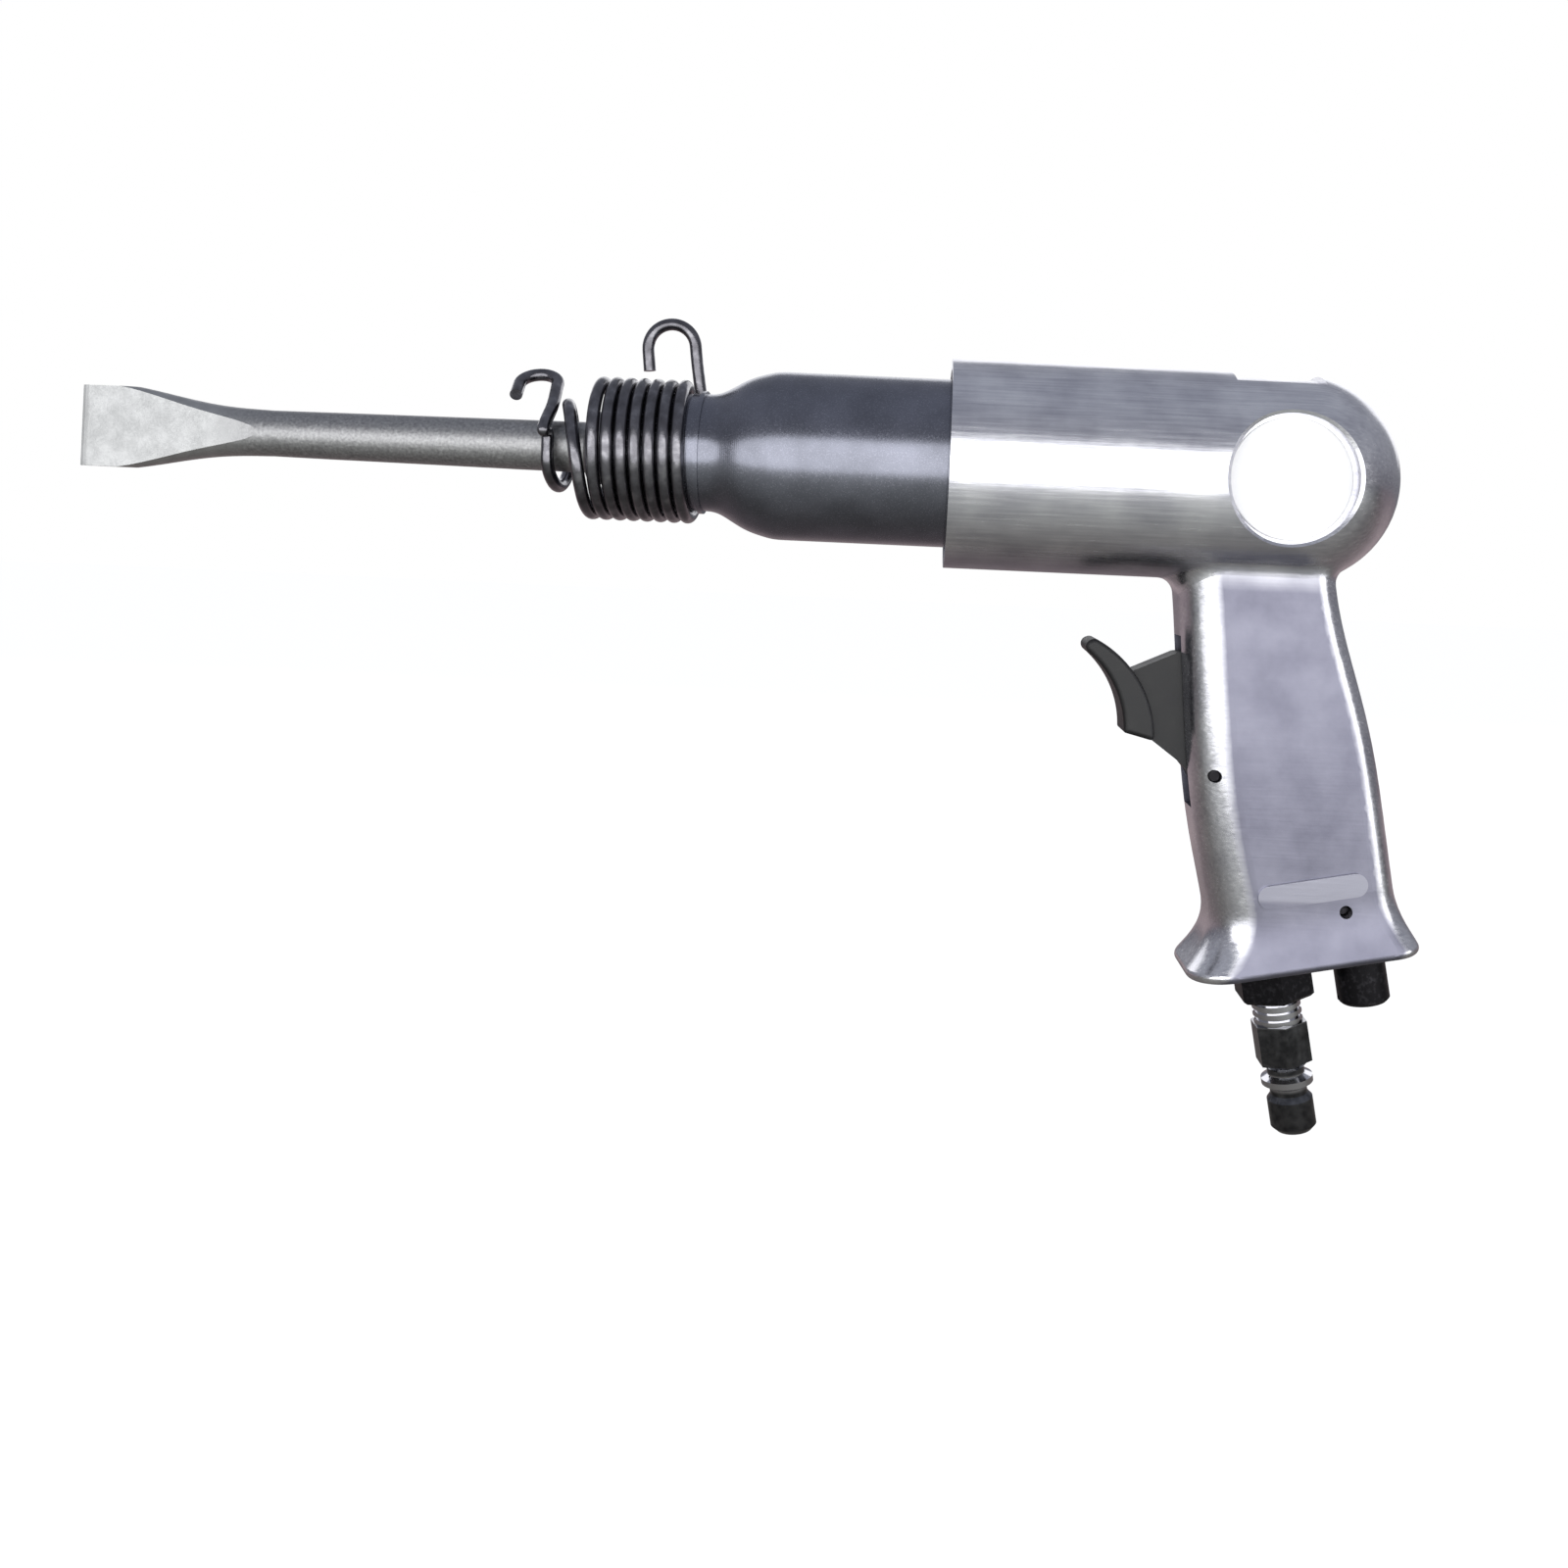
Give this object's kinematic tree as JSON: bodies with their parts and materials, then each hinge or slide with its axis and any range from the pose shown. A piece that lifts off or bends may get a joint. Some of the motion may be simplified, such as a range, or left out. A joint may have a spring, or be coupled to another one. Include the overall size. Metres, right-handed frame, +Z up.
{
  "type": "pneumatic air hammer",
  "caption": "Pistol-grip pneumatic air hammer with a coil-spring chisel retainer, flat chisel, trigger, air regulator knob and quick-connect plug.",
  "frame": {"origin": "on the blow axis, inside the head, just ahead of the head's rounded rear end", "axes": "-X is the blow direction, towards the chisel's edge; +Z is up, away from the grip; the tool's left side faces -Y"},
  "size_m": [0.3215, 0.05, 0.1902],
  "materials": {
    "cast_aluminium": "polished sand casting with fine lengthwise polishing lines",
    "white_plate": "blank white satin plate",
    "gunmetal": "turned and dark oxidised steel",
    "spring_wire": "oiled dark spring steel",
    "chisel_steel": "forged steel, blasted, ground at the blade",
    "black_moulding": "moulded glass-filled nylon",
    "black_oxide": "black oxidised steel",
    "plug_chrome": "dark nickel-chrome plate",
    "ground_steel": "ground hardened steel",
    "brass_part": "turned brass",
    "seal_rubber": "nitrile rubber"
  },
  "bodies": {
    "body": {"housing": "cast_aluminium", "nameplate_left": "white_plate", "nameplate_right": "white_plate", "barrel": "gunmetal", "barrel_lock_ring": "spring_wire", "barrel_o_ring": "seal_rubber", "valve_seat": "ground_steel", "valve_cap": "ground_steel", "valve_dowel": "ground_steel", "retainer_spring": "spring_wire", "trigger_pin": "black_oxide", "regulator_pin": "black_oxide", "throttle_bushing": "brass_part", "throttle_spring": "ground_steel", "inlet_bushing": "black_oxide", "inlet_o_ring": "seal_rubber", "inlet_screen": "brass_part", "air_plug": "plug_chrome"},
    "piston": {"piston": "ground_steel"},
    "chisel": {"chisel": "chisel_steel"},
    "valve_ring": {"valve_ring": "ground_steel"},
    "trigger": {"trigger": "black_moulding"},
    "throttle": {"throttle_stem": "ground_steel", "throttle_o_ring": "seal_rubber"},
    "regulator": {"regulator_knob": "black_oxide", "regulator_o_ring": "seal_rubber"}
  },
  "joints": [
    {"name": "piston_slide", "type": "slide", "parent": "body", "child": "piston", "axis": [-1, 0, 0], "range_m": [0, 0.051]},
    {"name": "chisel_slide", "type": "slide", "parent": "body", "child": "chisel", "axis": [-1, 0, 0], "range_m": [0, 0.004]},
    {"name": "valve_shuttle", "type": "slide", "parent": "body", "child": "valve_ring", "axis": [-1, 0, 0], "range_m": [0, 0.0012]},
    {"name": "trigger_pull", "type": "hinge", "parent": "body", "child": "trigger", "pos_m": [-0.0206, 0, -0.0702], "axis": [0, 1, 0], "range_deg": [0, 8], "stiffness_Nm_per_rad": 0.5, "springref_deg": -17.19},
    {"name": "throttle_slide", "type": "slide", "parent": "body", "child": "throttle", "axis": [1, 0, 0], "range_m": [0, 0.0026], "deforming": ["throttle_spring"]},
    {"name": "regulator_turn", "type": "hinge", "parent": "body", "child": "regulator", "pos_m": [0.01759, 0, -0.11067], "axis": [0.1891, 0, -0.982], "range_deg": [-135, 135]}
  ],
  "couplings": [
    {"joint": "throttle_slide", "follows": "trigger_pull", "m_per_rad": 0.0178}
  ]
}
